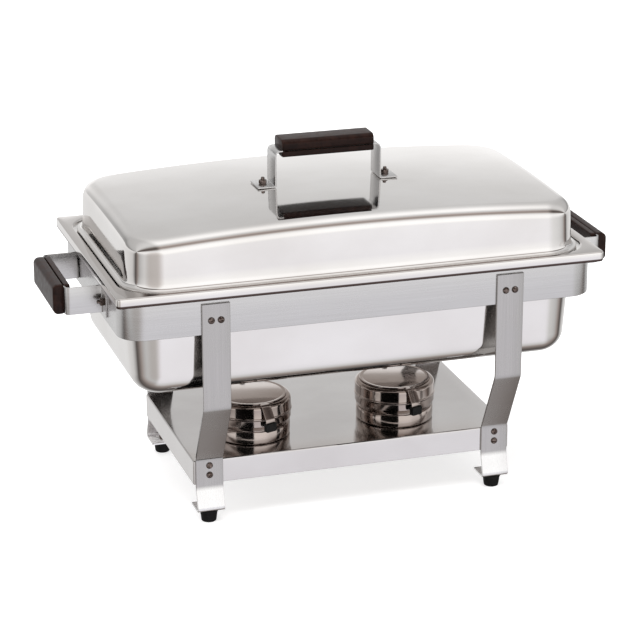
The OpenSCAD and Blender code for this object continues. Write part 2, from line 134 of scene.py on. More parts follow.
def noise(mat, scale, detail=3.0, rough=0.5, distortion=0.0):
    node = mat.node_tree.nodes.new("ShaderNodeTexNoise")
    node.inputs["Scale"].default_value = 1.0
    node.inputs["Detail"].default_value = detail
    node.inputs["Roughness"].default_value = rough
    node.inputs["Distortion"].default_value = distortion
    mat.node_tree.links.new(scaled_position(mat, scale), node.inputs["Vector"])
    return node.outputs["Fac"]


def remap(mat, value, low, high, to_low, to_high):
    node = mat.node_tree.nodes.new("ShaderNodeMapRange")
    for key, number in zip(("From Min", "From Max", "To Min", "To Max"), (low, high, to_low, to_high)):
        node.inputs[key].default_value = number
    mat.node_tree.links.new(value, node.inputs["Value"])
    return node.outputs["Result"]


def blend_colors(mat, value, dark, light):
    node = mat.node_tree.nodes.new("ShaderNodeMix")
    node.data_type = "RGBA"
    node.inputs["A"].default_value = (*dark, 1)
    node.inputs["B"].default_value = (*light, 1)
    mat.node_tree.links.new(value, node.inputs["Factor"])
    return node.outputs["Result"]


def math_node(tree, kind, a, b):
    node = tree.nodes.new("ShaderNodeMath")
    node.operation = kind
    for socket, value in zip(node.inputs, (a, b)):
        if isinstance(value, (int, float)):
            socket.default_value = value
        else:
            tree.links.new(value, socket)
    return node.outputs["Value"]


def height_share(mat, low, high):
    """0 at the height `low` and 1 at `high`, both in millimetres of the rest frame."""
    split = mat.node_tree.nodes.new("ShaderNodeSeparateXYZ")
    mat.node_tree.links.new(scaled_position(mat, (1, 1, 1)), split.inputs["Vector"])
    return remap(mat, split.outputs["Z"], low * MM, high * MM, 0, 1)


def lip_underside(mat, half_l, half_w, top):
    """1 where a shadow is painted on the lower edge of a rim's turned-down lip, 0 elsewhere; measures in
    millimetres.
    """
    tree = mat.node_tree
    split = tree.nodes.new("ShaderNodeSeparateXYZ")
    tree.links.new(scaled_position(mat, (1, 1, 1)), split.inputs["Vector"])
    along = math_node(tree, "SUBTRACT", math_node(tree, "ABSOLUTE", split.outputs["X"], 0.0), half_l * MM)
    across = math_node(tree, "SUBTRACT", math_node(tree, "ABSOLUTE", split.outputs["Y"], 0.0), half_w * MM)
    outer = remap(mat, math_node(tree, "MAXIMUM", along, across), -6 * MM, -4 * MM, 0, 1)
    low = remap(mat, split.outputs["Z"], (top - LIP_SHADE_H[0]) * MM, (top - LIP_SHADE_H[1]) * MM, 1, 0)
    return math_node(tree, "MULTIPLY", outer, low)


def two_tone(mat, value, low, high, dark, light):
    """A colour that runs from dark to light as `value` runs from low to high."""
    return blend_colors(mat, remap(mat, value, low, high, 0, 1), dark, light)


def toned(mat, color, share, tone):
    """The colour multiplied by `tone` where `share` is 1."""
    node = mat.node_tree.nodes.new("ShaderNodeMix")
    node.data_type, node.blend_type = "RGBA", "MULTIPLY"
    node.inputs["B"].default_value = (*tone, 1)
    mat.node_tree.links.new(color, node.inputs["A"])
    mat.node_tree.links.new(share, node.inputs["Factor"])
    return node.outputs["Result"]


def bump(mat, height, strength, distance, under=None):
    node = mat.node_tree.nodes.new("ShaderNodeBump")
    node.inputs["Strength"].default_value = strength
    node.inputs["Distance"].default_value = distance
    mat.node_tree.links.new(height, node.inputs["Height"])
    if under is not None:
        mat.node_tree.links.new(under, node.inputs["Normal"])
    return node.outputs["Normal"]


def polished_steel(name, dark=(0.72, 0.695, 0.675), light=(0.80, 0.78, 0.765), low=0.035, high=0.10, rim=None):
    """Mirror-polished sheet: slow waves, wiping marks, hairlines; `rim` paints shade on a pan's rim: a darker
    flat top and a painted shadow under the lip.
    """
    mat, shader = new_material(name)
    cloud = noise(mat, (7, 9, 9), 4.0)
    hairline = noise(mat, (14, 900, 900), 2.0)
    color = two_tone(mat, cloud, 0.35, 0.7, dark, light)
    if rim is not None:
        half_l, half_w, top = rim
        # painted shade: the rim's flat top is darker than the rest of the pan
        color = toned(mat, color, height_share(mat, top - 0.9, top - 0.3), RIM_FLAT_PAINTED_SHADE)
        # painted shadow along the lower edge of the rim's turned-down lip
        color = toned(mat, color, lip_underside(mat, half_l, half_w, top), LIP_SHADE_TONE)
    smear = remap(mat, cloud, 0.4, 0.75, low, high)
    lines = remap(mat, hairline, 0.3, 0.7, 0.0, 0.03)
    waves = bump(mat, noise(mat, (5, 6, 6), 1.0), 0.12, 0.0015)
    roughness = math_node(mat.node_tree, "ADD", smear, lines)
    surface(mat, shader, color, roughness, bump(mat, hairline, 0.05, 0.00002, waves))
    shader.inputs["Metallic"].default_value = 1.0
    return mat


def satin_steel(name, scale, dark=(0.545, 0.535, 0.53), light=(0.60, 0.592, 0.588), flare=None):
    """Strip steel with a fine brushed grain; `scale` is high across the grain and low along it.

    Above the height `flare` the strip is painted greyer, a painted shade, so the lighter foot below stands as
    a painted highlight.
    """
    mat, shader = new_material(name)
    grain = noise(mat, scale, 4.0, 0.6)
    blotch = noise(mat, (22, 22, 22), 3.0)
    color = two_tone(mat, grain, 0.3, 0.7, dark, light)
    if flare is not None:
        # painted shade above the flare; the lighter foot below is a painted highlight
        color = toned(mat, color, height_share(mat, flare - 3, flare + 3), LEG_PAINTED_SHADE)
    base = remap(mat, blotch, 0.35, 0.7, 0.20, 0.27)
    roughness = math_node(mat.node_tree, "ADD", base, remap(mat, grain, 0.25, 0.75, 0.0, 0.06))
    surface(mat, shader, color, roughness, bump(mat, grain, 0.10, 0.00002))
    shader.inputs["Metallic"].default_value = 1.0
    return mat


def fastener_steel(name):
    """Plated screws and nuts, dark brown, with brighter spots left in the plating."""
    mat, shader = new_material(name)
    spots = noise(mat, (420, 420, 420), 3.0)
    color = two_tone(mat, spots, 0.35, 0.65, (0.06, 0.042, 0.036), (0.26, 0.21, 0.19))
    roughness = remap(mat, spots, 0.3, 0.7, 0.28, 0.14)
    surface(mat, shader, color, roughness, bump(mat, spots, 0.15, 0.00005))
    shader.inputs["Metallic"].default_value = 1.0
    return mat


def brown_phenolic(name):
    """Dark brown moulded resin: mottled filler, fine pores, a semi-gloss skin."""
    mat, shader = new_material(name)
    mottle = noise(mat, (130, 130, 130), 5.0, 0.62, 0.4)
    pores = noise(mat, (1500, 1500, 1500), 2.0)
    color = two_tone(mat, mottle, 0.32, 0.68, (0.0065, 0.0020, 0.0013), (0.019, 0.0072, 0.0049))
    roughness = remap(mat, mottle, 0.3, 0.7, 0.30, 0.42)
    flow = bump(mat, mottle, 0.10, 0.0002)
    surface(mat, shader, color, roughness, bump(mat, pores, 0.20, 0.00006, flow))
    shader.inputs["Specular IOR Level"].default_value = 0.12
    shader.inputs["Coat Weight"].default_value = 0.03
    shader.inputs["Coat Roughness"].default_value = 0.22
    return mat


def black_rubber(name, low=0.52, high=0.72, tint=(0.008, 0.0075, 0.007)):
    """Moulded black rubber or matt plastic with a fine skin texture and a slightly paler dust."""
    mat, shader = new_material(name)
    dust = noise(mat, (180, 180, 180), 4.0)
    pimples = noise(mat, (2200, 2200, 2200), 2.0)
    color = two_tone(mat, dust, 0.4, 0.75, (0.003, 0.003, 0.003), tint)
    roughness = remap(mat, dust, 0.3, 0.7, low, high)
    surface(mat, shader, color, roughness, bump(mat, pimples, 0.3, 0.00008))
    shader.inputs["Specular IOR Level"].default_value = 0.16
    return mat


def wick_felt(name):
    """Off-white fibre felt, a little scorched in places."""
    mat, shader = new_material(name)
    fibre = noise(mat, (900, 900, 300), 6.0, 0.7, 1.5)
    scorch = noise(mat, (60, 60, 60), 3.0)
    color = two_tone(mat, scorch, 0.45, 0.75, (0.80, 0.76, 0.66), (0.46, 0.38, 0.29))
    roughness = remap(mat, fibre, 0.3, 0.7, 0.85, 0.98)
    surface(mat, shader, color, roughness, bump(mat, fibre, 0.7, 0.0005))
    shader.inputs["Sheen Weight"].default_value = 0.3
    return mat


def pale_floor(name):
    """Matt white ground that gives off a little light of its own, so that it stays white."""
    mat, shader = new_material(name)
    speck = blend_colors(mat, noise(mat, (3, 3, 3), 3.0), (0.76, 0.76, 0.76), (0.78, 0.78, 0.78))
    mat.node_tree.links.new(speck, shader.inputs["Base Color"])
    shader.inputs["Emission Color"].default_value = (1, 1, 1, 1)
    shader.inputs["Emission Strength"].default_value = 0.62
    shader.inputs["Roughness"].default_value = 0.8
    shader.inputs["Specular IOR Level"].default_value = 0.1
    return mat


# ---------- mesh building ----------


class Piece:
    """Collects vertices (mm) and faces; `put` turns them into one object on a CAD body."""

    def __init__(self):
        self.verts, self.faces = [], []

    def points(self, pts):
        start = len(self.verts)
        self.verts.extend(pts)
        return list(range(start, start + len(pts)))

    def bridge(self, a, b):
        """Quads between two closed loops of the same length."""
        n = len(a)
        for i in range(n):
            j = (i + 1) % n
            self.faces.append((a[i], a[j], b[j], b[i]))

    def loft(self, rings):
        ids = [self.points(r) for r in rings]
        for a, b in zip(ids, ids[1:]):
            self.bridge(a, b)
        return ids

    def put(self, name, body, slot, material, nodes=(), sharp=32, matrix=None):
        mesh = bpy.data.meshes.new(name)
        place = matrix if matrix is not None else Matrix.Identity(4)
        mesh.from_pydata([place @ Vector(v) * MM for v in self.verts], [], self.faces)
        bm = bmesh.new()
        bm.from_mesh(mesh)
        bmesh.ops.remove_doubles(bm, verts=bm.verts, dist=2e-6)
        bmesh.ops.dissolve_degenerate(bm, edges=bm.edges, dist=1e-6)
        bmesh.ops.recalc_face_normals(bm, faces=bm.faces)
        bm.to_mesh(mesh)
        bm.free()
        mesh.polygons.foreach_set("use_smooth", [True] * len(mesh.polygons))
        mesh.set_sharp_from_angle(angle=math.radians(sharp))
        mesh.materials.append(material)
        obj = add_object(name, mesh)
        if nodes:
            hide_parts(*nodes)
        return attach(obj, body)


def rounded_outline(half_l, half_w, r):
    """A round-cornered rectangle, from the front side's left end counter-clockwise."""
    x, y = half_l - r, half_w - r
    sides = (
        ((-x, -half_w), (x, -half_w), LONG, (x, -y)),
        ((half_l, -y), (half_l, y), SHORT, (x, y)),
        ((x, half_w), (-x, half_w), LONG, (-x, y)),
        ((-half_l, y), (-half_l, -y), SHORT, (-x, -y)),
    )
    pts = []
    for i, (a, b, steps, corner) in enumerate(sides):
        pts += [tuple(p + (q - p) * k / steps for p, q in zip(a, b)) for k in range(steps)]
        pts += [arc(*corner, r, 90 * (i - 1 + k / CORNER)) for k in range(CORNER)]
    return pts


def arc(cx, cy, r, degrees):
    a = math.radians(degrees)
    return (cx + r * math.cos(a), cy + r * math.sin(a))


def outline_ring(half_l, half_w, r, z):
    """z is a height or a function of x and y."""
    height = z if callable(z) else (lambda x, y: z)
    return [(x, y, height(x, y)) for x, y in rounded_outline(half_l, half_w, r)]


def fill_outline(piece, ring, height):
    """Closes a ring made by outline_ring with rows of quads, following height(x, y)."""
    n = len(ring)
    rows = 2 * CORNER + SHORT
    before = ring[: LONG + 1]
    for j in range(1, rows + 1):
        left, right = ring[(n - j) % n], ring[LONG + j]
        if j == rows:
            row = [ring[(LONG + rows + LONG - i) % n] for i in range(LONG + 1)]
        else:
            a, b = piece.verts[left], piece.verts[right]
            inner = []
            for i in range(1, LONG):
                x, y = a[0] + (b[0] - a[0]) * i / LONG, a[1]
                inner.append((x, y, height(x, y)))
            row = [left, *piece.points(inner), right]
        for i in range(LONG):
            piece.faces.append((before[i], before[i + 1], row[i + 1], row[i]))
        before = row


def skin(piece, outer, outer_height, inner, inner_height):
    """A closed sheet from two stacks of rings, joined at their first rings and filled at their last."""
    a, b = piece.loft(outer), piece.loft(inner)
    piece.bridge(b[0], a[0])
    fill_outline(piece, a[-1], outer_height)
    fill_outline(piece, b[-1], inner_height)


def lathe(piece, profile, closed=True, steps=96):
    """Turns (radius, z) points round +Z; a point may add the shift (dx, dy) of its circle's middle."""
    rings = []
    for r, z, *shift in profile:
        dx, dy = shift or (0, 0)
        rings.append([(*arc(dx, dy, r, 360 * i / steps), z) for i in range(steps)])
    ids = piece.loft(rings)
    if closed:
        piece.bridge(ids[-1], ids[0])
    return ids


def turn(cx, cz, r, start, end, steps=6):
    """Arc points of a profile, in degrees."""
    return [arc(cx, cz, r, start + (end - start) * i / steps) for i in range(steps + 1)]


def eased(points, eases, steps=8):
    """A bent centre line with bend i eased over a length eases[i] either side."""
    line = [Vector(points[0])]
    for before, here, after, ease in zip(points, points[1:], points[2:], eases):
        here = Vector(here)
        if ease == 0:
            line.append(here)
            continue
        a = here - ease * (here - Vector(before)).normalized()
        b = here + ease * (Vector(after) - here).normalized()
        for k in range(steps + 1):
            s = k / steps
            line.append((1 - s) ** 2 * a + 2 * s * (1 - s) * here + s**2 * b)
    return [*line, Vector(points[-1])]


def strap(piece, points, width, thick, eases, place, edge=0.6, spacing=6.0, widen=lambda p: 0.0):
    """Strip bent along a 2D line; place(a, b, c) puts line point (a, b) and width offset c in space."""
    line = eased(points, eases)
    full = [line[0], line[0] + edge * (line[1] - line[0]).normalized()]
    for a, b in zip(line, line[1:]):
        cuts = max(1, round((b - a).length / spacing))
        full += [a + (b - a) * k / cuts for k in range(1, cuts + 1)]
    full = [p for i, p in enumerate(full) if i != 2 or (p - full[1]).length > 0.2]
    full.insert(-1, line[-1] + edge * (line[-2] - line[-1]).normalized())
    section = []
    for sx, sy, start in ((1, 1, 0), (-1, 1, 90), (-1, -1, 180), (1, -1, 270)):
        for k in range(4):
            section.append(arc(sx * (thick / 2 - edge), sy * (width / 2 - edge), edge, start + 30 * k))
    rings = []
    for i, p in enumerate(full):
        before = (full[max(i, 1)] - full[max(i, 1) - 1]).normalized()
        last = len(full) - 1
        after = (full[min(i + 1, last)] - full[min(i + 1, last) - 1]).normalized()
        n1, n2 = Vector((-before.y, before.x)), Vector((-after.y, after.x))
        side = (n1 + n2) / (1 + n1.dot(n2))
        pull = edge * 0.75 if i in (0, last) else 0.0
        ring = []
        for d, c in section:
            d2 = d - math.copysign(min(pull, abs(d)), d)
            c2 = c - math.copysign(pull - widen(p) / 2, c)
            q = p + side * d2
            ring.append(place(q.x, q.y, c2))
        rings.append(ring)
    ids = piece.loft(rings)
    piece.faces.append(tuple(ids[0][::-1]))
    piece.faces.append(tuple(ids[-1]))


def prism(piece, section, half, edge, place):
    """Convex bar of a 2D section along +-half, with its end edges rounded; place(along, a, b)."""
    n = len(section)
    cx = sum(p[0] for p in section) / n
    cy = sum(p[1] for p in section) / n
    reach = max(math.hypot(p[0] - cx, p[1] - cy) for p in section)
    rings = []
    stops = [(-half, edge), (-half + 0.3 * edge, 0.35 * edge), (-half + edge, 0)]
    stops += [(-half + edge + (2 * half - 2 * edge) * k / 24, 0) for k in range(1, 24)]
    stops += [(half - edge, 0), (half - 0.3 * edge, 0.35 * edge), (half, edge)]
    for along, pull in stops:
        k = 1 - pull / reach
        rings.append([place(along, cx + (a - cx) * k, cy + (b - cy) * k) for a, b in section])
    ids = piece.loft(rings)
    piece.faces.append(tuple(ids[0][::-1]))
    piece.faces.append(tuple(ids[-1]))


def round_section(points, r, steps=4):
    """Rounds the corners of a closed 2D section."""
    out, n = [], len(points)
    for i, p in enumerate(points):
        here = Vector(p)
        a, b = Vector(points[i - 1]), Vector(points[(i + 1) % n])
        cut = min(r, 0.45 * (here - a).length, 0.45 * (b - here).length)
        p1, p2 = here + cut * (a - here).normalized(), here + cut * (b - here).normalized()
        for k in range(steps + 1):
            s = k / steps
            q = (1 - s) ** 2 * p1 + 2 * s * (1 - s) * here + s**2 * p2
            out.append((q.x, q.y))
    return out


# ---------- lid ----------

BRIM = 7  # reach of the lid's brim past its wall
CROWN = (12, 4)  # rise of the lid's top along its length and its width


def crown_of(half_l, half_w):
    """Rise of the crowned lid top above its corners."""
    return lambda x, y: CROWN[0] * (1 - (x / half_l) ** 2) + CROWN[1] * (1 - (y / half_w) ** 2)


def lid_rings(half_l, half_w, foot_z, top_z, d):
    """Rings of the lid's outer face (d = 0) or of its inner face, d inside it."""
    crown = crown_of(half_l, half_w)
    edge_r, inset = 17, 18.5
    if d == 0:
        foot = [(6.7, 0), (7.0, 0.35), (7.0, 1.35), (6.65, 1.8), (5.6, 1.95), (4.0, 2.0), (2.8, 2.2)]
        foot += [(1.9, 2.7), (1.2, 3.6), (0.7, 5.0), (0.35, 7.0), (0, 9.4)]
    else:
        foot = [(5.6, 0), (5.3, 0.2), (4.9, 0.75), (3.2, 0.95), (1.7, 1.3), (0.6, 2.2), (-0.2, 3.6)]
        foot += [(-0.6, 6.0), (-1.0, 9.4)]
    rings = [outline_ring(half_l + g, half_w + g, 46 + g, foot_z + z) for g, z in foot]
    for k in range(1, 4):
        share = k / 4

        def wall(x, y, share=share):
            top = top_z - edge_r + crown(x, y)
            return foot_z + 9.4 + (top - foot_z - 9.4) * share

        grow = -1.5 * share - d
        rings.append(outline_ring(half_l + grow, half_w + grow, 46 + grow, wall))
    for k in range(17):
        a = math.radians(90 * k / 16)
        grow = -inset + (edge_r - d) * math.cos(a)
        rise = top_z - edge_r + (edge_r - d) * math.sin(a)
        shoulder = lambda x, y, z=rise: z + crown(x, y)
        rings.append(outline_ring(half_l + grow, half_w + grow, 46 + grow, shoulder))
    return rings, lambda x, y: top_z - d + crown(x, y)


def build_lid(steel):
    lo, hi = span("lid_shell")
    half_l, half_w = (half - BRIM for half in half_size("lid_shell"))
    top_z = hi.z - sum(CROWN)
    outer, outer_height = lid_rings(half_l, half_w, lo.z, top_z, 0)
    inner, inner_height = lid_rings(half_l, half_w, lo.z, top_z, THIN_SHEET)
    piece = Piece()
    skin(piece, outer, outer_height, inner, inner_height)
    piece.put("lid_shell_pressed", "lid", "polished_steel", steel, ["lid_shell"], sharp=40)


# ---------- pans ----------


def tub_rows(half_l, half_w, corner, top, floor, taper, bottom_r, t, wall_steps, bend_steps):
    """Rows (half length, half width, corner radius, height) of a tapered tub, inside and outside.

    They start just under the rim and end where the wall's rounded foot meets the floor.
    """
    inside, outside = [], []
    for k in range(1, wall_steps):
        s = k / wall_steps
        z = top + (floor + bottom_r - top) * s
        for rows, gap in ((outside, 0), (inside, t)):
            pull = gap + taper * s
            rows.append((half_l - pull, half_w - pull, corner - pull, z))
    for k in range(bend_steps + 1):
        a = math.radians(90 * k / bend_steps)
        for rows, gap in ((outside, 0), (inside, t)):
            pull = taper + bottom_r - (bottom_r - gap) * math.cos(a)
            z = floor + bottom_r - (bottom_r - gap) * math.sin(a)
            rows.append((half_l - pull, half_w - pull, corner - pull, z))
    return inside, outside


def pan_piece(upper, lower, floor, t):
    """A pan from its rows above and below the sheet, both from the rim's edge to the floor."""
    piece = Piece()
    skin(
        piece,
        [outline_ring(*row) for row in upper],
        lambda x, y: floor + t,
        [outline_ring(*row) for row in lower],
        lambda x, y: floor,
    )
    return piece


def build_water_pan(steel):
    lo, hi = span("water_pan")
    rim_l, rim_w = half_size("water_pan")
    top, floor, t = hi.z, lo.z, PAN_SHEET
    body_l, body_w, ledge = rim_l - 20, rim_w - 21, top - 4
    upper, lower = [], []
    roll = ((1.7, -13), (1.0, -12.75), (0.45, -12.1), (0.12, -11.1), (0, -10.0))
    for g, z in (*roll, (0, -2.2), (0.25, -1.1), (0.9, -0.3), (1.9, 0)):
        upper.append((rim_l - g, rim_w - g, 6 - g, top + z))
    for g, z in ((-2.4, 0), (-1.2, 0), (-0.5, -0.25), (0, -0.9), (0, -3.0), (0.3, -3.7), (1.0, -4)):
        upper.append((rim_l - 12.5 - g, rim_w - 7 - g, 50 - g, top + z))
    for g, z in ((-2.6, 0), (-1.0, 0), (0.2, -0.3), (1.0, -1.1), (1.3, -2.6)):
        upper.append((body_l - g, body_w - g, 46 - g, ledge + z))
    for g, z in ((2.3, -12.8), (2.1, -12.2), (t, -10.6), (t, -3.0), (1.6, -1.6), (2.6, -1.2)):
        lower.append((rim_l - g, rim_w - g, max(6 - g, 3.4), top + z))
    for g, z in ((-t - 2.0, -t), (-t, -t), (-t, -4.2), (-0.8, -5.0), (0, -4 - t)):
        lower.append((rim_l - 12.5 - g, rim_w - 7 - g, 50 - g, top + z))
    for g, z in ((-3.0, -t), (-1.0, -t), (-0.3, -1.6), (0.05, -2.6)):
        lower.append((body_l - g, body_w - g, 46 - g, ledge + z))
    inside, outside = tub_rows(body_l, body_w, 46, ledge, floor, 8, 28, t, 8, 12)
    piece = pan_piece(upper + inside, lower + outside, floor, t)
    piece.put("water_pan_drawn", "water_pan_body", "polished_steel", steel, ["water_pan"], sharp=40)


def build_food_pan(steel):
    lo, hi = span("food_pan")
    flange_l, flange_w = half_size("food_pan")
    top, floor, t = hi.z, lo.z, THIN_SHEET
    body_l, body_w = flange_l - 10, flange_w - 16
    upper, lower = [], []
    for g, z in ((0.3, -t), (0, -0.7), (0, -0.3), (0.3, 0)):
        upper.append((flange_l - g, flange_w - g, 48 - g, top + z))
    for g, z in ((-2.4, 0), (-0.8, -0.05), (0.3, -0.5), (0.9, -1.4), (t, -2.8)):
        upper.append((body_l - g, body_w - g, 42 - g, top + z))
    for g in (0.6, 1.5):
        lower.append((flange_l - g, flange_w - g, 48 - g, top - t))
    for g, z in ((-1.6, -t), (-0.5, -1.2), (0, -2.8)):
        lower.append((body_l - g, body_w - g, 42 - g, top + z))
    inside, outside = tub_rows(body_l, body_w, 42, top, floor, 6, 20, t, 6, 10)
    piece = pan_piece(upper + inside, lower + outside, floor, t)
    piece.put("food_pan_drawn", "food_pan_body", "polished_steel", steel, ["food_pan"], sharp=40)


# ---------- stand ----------


def build_band(steel):
    lo, hi = span("carrying_band")
    half_l, half_w = half_size("carrying_band")
    t, e = BAND_SHEET, 0.7
    section = []
    for d, z, start in ((e, hi.z - e, 0), (t - e, hi.z - e, 90), (t - e, lo.z + e, 180), (e, lo.z + e, 270)):
        for k in range(5):
            a = math.radians(start + 22.5 * k)
            section.append((d - e * math.cos(a), z + e * math.sin(a)))
    piece = Piece()
    ids = piece.loft([outline_ring(half_l - d, half_w - d, 32 - d, z) for d, z in section])
    piece.bridge(ids[-1], ids[0])
    piece.put("carrying_band_rolled", "stand", "satin_steel", steel, ["carrying_band"])


def build_leg(name, sy, steel):
    """Strap leg, front (sy = -1) or rear (sy = 1): down the band, inwards, down the tray, out to the foot."""
    lo, hi = span(name)
    tray_lo, tray_hi = span("base_tray")
    t, width = LEG_SHEET, hi.x - lo.x
    on_band = (hi.y if sy > 0 else -lo.y) - t / 2
    on_tray = tray_hi.y + t / 2
    sole = lo.z + t / 2
    inner_end = lo.y if sy > 0 else -hi.y
    line = [(on_band, hi.z), (on_band, LEG_BEND_Z), (on_tray, tray_hi.z + 2), (on_tray, tray_lo.z - 5)]
    line += [(on_tray + 9.5, sole), (inner_end, sole)]
    middle = (lo.x + hi.x) / 2
    piece = Piece()
    strap(piece, line, width, t, (3, 3, 4, 7), lambda a, b, c: (middle + c, sy * a, b), edge=0.7)
    piece.put(name + "_bent", "stand", "satin_steel", steel, [name])


def build_tray(steel):
    lo, hi = span("base_tray")
    half_l, half_w = half_size("base_tray")
    t = TRAY_SHEET
    outer = [(0.4, lo.z), (0, lo.z + 0.4), (0, lo.z + 10), (0, lo.z + 22), (0, hi.z - 1.8)]
    outer += [(g, z) for g, z in turn(1.8, hi.z - 1.8, 1.8, 180, 90)[1:]]
    inner = [(t - 0.3, lo.z), (t, lo.z + 0.4), (t, hi.z - t - 0.3), (t + 0.4, hi.z - t)]
    piece = Piece()
    skin(
        piece,
        [outline_ring(half_l - g, half_w - g, max(2.2 - g, 0.4), z) for g, z in outer],
        lambda x, y: hi.z,
        [outline_ring(half_l - g, half_w - g, 0.6, z) for g, z in inner],
        lambda x, y: hi.z - t,
    )
    piece.put("base_tray_folded", "stand", "polished_steel", steel, ["base_tray"])


def build_foot(name, rubber):
    lo, hi = span(name)
    middle, h, top = (lo + hi) / 2, hi.z - lo.z, (hi.x - lo.x) / 2
    bottom = top - 2.5
    profile = [(4.8, 0.0), *turn(bottom - 1.5, 1.5, 1.5, -90, -12), (top - 1.0, h - 3.4)]
    profile += [(top - 0.35, h - 3.0), (top, h - 2.2), (top, h - 0.6), (top - 0.6, h)]
    profile += [(2.2, h), (2.2, h / 2), (4.8, h / 2)]
    piece = Piece()
    lathe(piece, profile, steps=48)
    here = Matrix.Translation((middle.x, middle.y, lo.z))
    piece.put(name + "_moulded", "stand", "foot_rubber", rubber, [name], matrix=here)


# ---------- screws ----------


def head_mesh(head_r, head_h, shank_r, length, slot_w=1.5, slot_deep=1.5):
    """Vertices and faces of a slotted dome-head screw along +Z, its bearing face at z = 0, in mm."""
    piece = Piece()
    profile = [(0.01, -length), (shank_r - 0.5, -length), (shank_r, -length + 0.6), (shank_r, 0)]
    profile += [(head_r - 0.3, 0), (head_r, 0.3)]
    ball = (head_r**2 + (head_h - 0.7) ** 2) / (2 * (head_h - 0.7))
    for k in range(9):
        r = head_r * (1 - k / 8)
        profile.append((max(r, 0.01), 0.7 + math.sqrt(ball**2 - r**2) - (ball - head_h + 0.7)))
    lathe(piece, profile, closed=False, steps=40)
    mesh = bpy.data.meshes.new("head")
    mesh.from_pydata(piece.verts, [], piece.faces)
    bm = bmesh.new()
    bm.from_mesh(mesh)
    bmesh.ops.remove_doubles(bm, verts=bm.verts, dist=0.02)
    bmesh.ops.holes_fill(bm, edges=bm.edges)
    bmesh.ops.recalc_face_normals(bm, faces=bm.faces)
    bm.to_mesh(mesh)
    bm.free()
    blank = add_object("head_blank", mesh)
    blade_mesh = bpy.data.meshes.new("blade")
    bm = bmesh.new()
    bmesh.ops.create_cube(bm, size=1.0, matrix=Matrix.Diagonal((head_r * 2.4, slot_w, slot_deep * 2, 1)))
    bmesh.ops.translate(bm, verts=bm.verts, vec=(0, 0, head_h))
    bm.to_mesh(blade_mesh)
    bm.free()
    blade = add_object("blade", blade_mesh)
    cut = blank.modifiers.new("slot", "BOOLEAN")
    cut.operation, cut.solver, cut.object = "DIFFERENCE", "EXACT", blade
    bpy.context.view_layer.update()
    ready = bpy.data.meshes.new_from_object(blank.evaluated_get(bpy.context.evaluated_depsgraph_get()))
    verts = [tuple(v.co) for v in ready.vertices]
    faces = [tuple(p.vertices) for p in ready.polygons]
    for o in (blank, blade):
        bpy.data.objects.remove(o)
    return verts, faces


def add_copy(piece, matrix, verts, faces):
    start = len(piece.verts)
    piece.points([matrix @ Vector(v) for v in verts])
    piece.faces += [tuple(start + i for i in f) for f in faces]


def put_screws(name, node, body, head, places, steel):
    """One piece holding a copy of the head at each (position, direction, slot angle)."""
    piece = Piece()
    for at, out, angle in places:
        turned = Vector(out).to_track_quat("Z", "Y").to_matrix().to_4x4()
        add_copy(piece, Matrix.Translation(at) @ turned @ Matrix.Rotation(math.radians(angle), 4, "Z"), *head)
    piece.put(name, body, "fastener_steel", steel, [node], sharp=38)


def solid_boxes(node):
    """Boxes of the node's separate solids, in mm, found as clusters of its vertices."""
    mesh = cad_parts[node].data
    parent = list(range(len(mesh.vertices)))

    def root(i):
        while parent[i] != i:
            parent[i] = parent[parent[i]]
            i = parent[i]
        return i

    seen = {}
    for v in mesh.vertices:
        key = tuple(round(c * 1e5) for c in v.co)
        if key in seen:
            parent[root(v.index)] = root(seen[key])
        else:
            seen[key] = v.index
    for e in mesh.edges:
        parent[root(e.vertices[0])] = root(e.vertices[1])
    groups = {}
    for v in mesh.vertices:
        groups.setdefault(root(v.index), []).append(v.co / MM)
    boxes = [tuple(Vector(map(pick, zip(*pts))) for pick in (min, max)) for pts in groups.values()]
    return sorted(boxes, key=lambda b: tuple(b[0]))


def build_screws(steel):
    """Every screw in place; those of the handles have their heads behind the plate and the nuts outside."""
    small = head_mesh(4.25, HEAD_H, 2.3, 8.6)
    foot = head_mesh(4.0, HEAD_H, 1.9, 14.5)
    angles = (25, -40, 10, 62, -15, 48, 80, -66)
    for group in ("band", "tray"):
        places = []
        for i, (lo, hi) in enumerate(solid_boxes(group + "_screws")):
            side = 1 if hi.y > 0 else -1
            face = (hi.y if side > 0 else lo.y) - side * HEAD_H
            at = Vector(((lo.x + hi.x) / 2, face, (lo.z + hi.z) / 2))
            places.append((at, (0, side, 0), angles[i % len(angles)]))
        put_screws(group + "_screws_slotted", group + "_screws", "stand", small, places, steel)
    places = []
    for i, (lo, hi) in enumerate(solid_boxes("foot_screws")):
        at = Vector(((lo.x + hi.x) / 2, (lo.y + hi.y) / 2, lo.z + HEAD_H))
        places.append((at, (0, 0, -1), angles[i]))
    put_screws("foot_screws_slotted", "foot_screws", "stand", foot, places, steel)
    for side in ("left", "right", "lid"):
        node = side + "_handle_screws"
        axis = 2 if side == "lid" else 0
        inward = Vector((0, 0, -1)) if side == "lid" else Vector((-SIDES[side], 0, 0))
        places = []
        for i, (lo, hi) in enumerate(solid_boxes(node)):
            face = (lo + hi) / 2
            face[axis] = lo[axis] + HEAD_H if inward[axis] < 0 else hi[axis] - HEAD_H
            places.append((face, inward, angles[i + 2]))
        head = head_mesh(4.75, HEAD_H, 2.3, hi[axis] - lo[axis] - HEAD_H)
        put_screws(node + "_slotted", node, "lid" if side == "lid" else "stand", head, places, steel)


